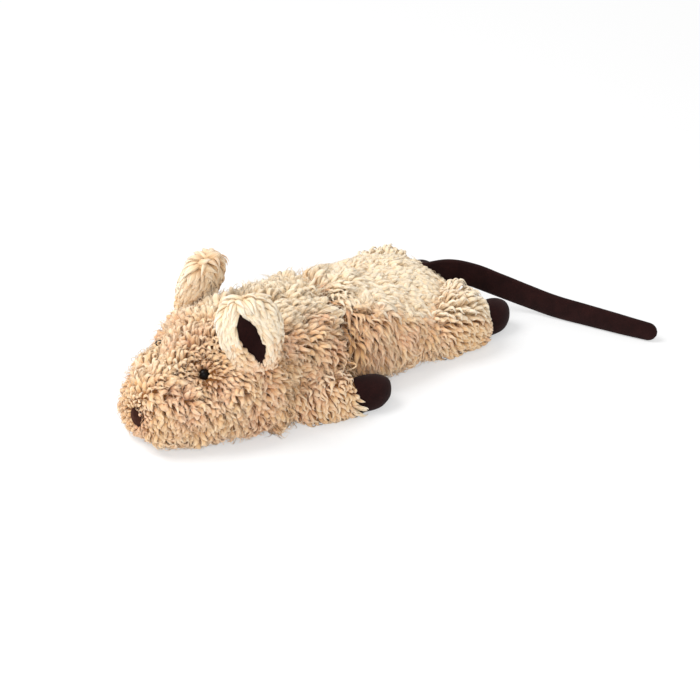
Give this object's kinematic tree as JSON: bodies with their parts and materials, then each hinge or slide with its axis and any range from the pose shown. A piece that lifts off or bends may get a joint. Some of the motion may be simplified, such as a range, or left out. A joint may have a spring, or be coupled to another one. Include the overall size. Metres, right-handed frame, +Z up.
{
  "type": "plush mouse cat toy",
  "caption": "Long-pile plush mouse lying on its belly, with cupped ears, button eyes, stubby suede-tipped limbs, a catnip pouch inside and a curved flat tail.",
  "frame": {"origin": "on the floor, in the flat of the belly under the chest, in the middle from side to side", "axes": "+X from the nose towards the tail, +Y towards the mouse's right side, +Z up"},
  "size_m": [0.3292, 0.1907, 0.0935],
  "materials": {
    "fleece": "long curly pile, matte",
    "suede": "short nap, matte",
    "filling": "loose polyester fibre",
    "cotton": "plain weave, matte",
    "black_plastic": "polished",
    "white_plastic": "moulded"
  },
  "bodies": {
    "torso": {"torso_skin": "fleece", "torso_stuffing": "filling", "catnip_pouch": "cotton"},
    "head": {"head_skin": "fleece", "head_stuffing": "filling", "nose": "suede", "eye_left": "black_plastic", "eye_right": "black_plastic", "eye_washer_left": "white_plastic", "eye_washer_right": "white_plastic"},
    "ear_left": {"ear_left_back": "fleece", "ear_left_lining": "suede"},
    "ear_right": {"ear_right_back": "fleece", "ear_right_lining": "suede"},
    "arm_left": {"arm_left_sleeve": "fleece", "arm_left_paw": "suede", "arm_left_stuffing": "filling"},
    "arm_right": {"arm_right_sleeve": "fleece", "arm_right_paw": "suede", "arm_right_stuffing": "filling"},
    "leg_left": {"leg_left_sleeve": "fleece", "leg_left_foot": "suede", "leg_left_stuffing": "filling"},
    "leg_right": {"leg_right_sleeve": "fleece", "leg_right_foot": "suede", "leg_right_stuffing": "filling"},
    "tail": {"tail": "suede"}
  },
  "joints": [
    {"name": "head_nod", "type": "hinge", "parent": "torso", "child": "head", "pos_m": [-0.042, 0, 0.03298], "axis": [0, 1, 0], "range_deg": [-4, 20], "stiffness_Nm_per_rad": 0.06},
    {"name": "ear_left_flop", "type": "hinge", "parent": "head", "child": "ear_left", "pos_m": [-0.05922, -0.03919, 0.04795], "axis": [0.681, -0.5227, -0.5128], "range_deg": [-10, 35], "stiffness_Nm_per_rad": 0.01},
    {"name": "ear_right_flop", "type": "hinge", "parent": "head", "child": "ear_right", "pos_m": [-0.05314, 0.03844, 0.04841], "axis": [-0.6853, -0.4072, 0.6038], "range_deg": [-10, 35], "stiffness_Nm_per_rad": 0.01},
    {"name": "arm_left_swing", "type": "hinge", "parent": "torso", "child": "arm_left", "pos_m": [-0.026, -0.04073, 0], "axis": [0, 0, -1], "range_deg": [0, 60], "stiffness_Nm_per_rad": 0.01},
    {"name": "arm_right_swing", "type": "hinge", "parent": "torso", "child": "arm_right", "pos_m": [-0.026, 0.04073, 0], "axis": [0, 0, 1], "range_deg": [0, 60], "stiffness_Nm_per_rad": 0.01},
    {"name": "leg_left_swing", "type": "hinge", "parent": "torso", "child": "leg_left", "pos_m": [0.085, -0.03347, 0], "axis": [0, 0, -1], "range_deg": [0, 45], "stiffness_Nm_per_rad": 0.02},
    {"name": "leg_right_swing", "type": "hinge", "parent": "torso", "child": "leg_right", "pos_m": [0.085, 0.02847, 0], "axis": [0, 0, 1], "range_deg": [0, 45], "stiffness_Nm_per_rad": 0.02},
    {"name": "tail_swing", "type": "hinge", "parent": "torso", "child": "tail", "pos_m": [0.10875, 0, 0.034], "axis": [0, 0, 1], "range_deg": [-5, 55], "stiffness_Nm_per_rad": 0.006}
  ]
}
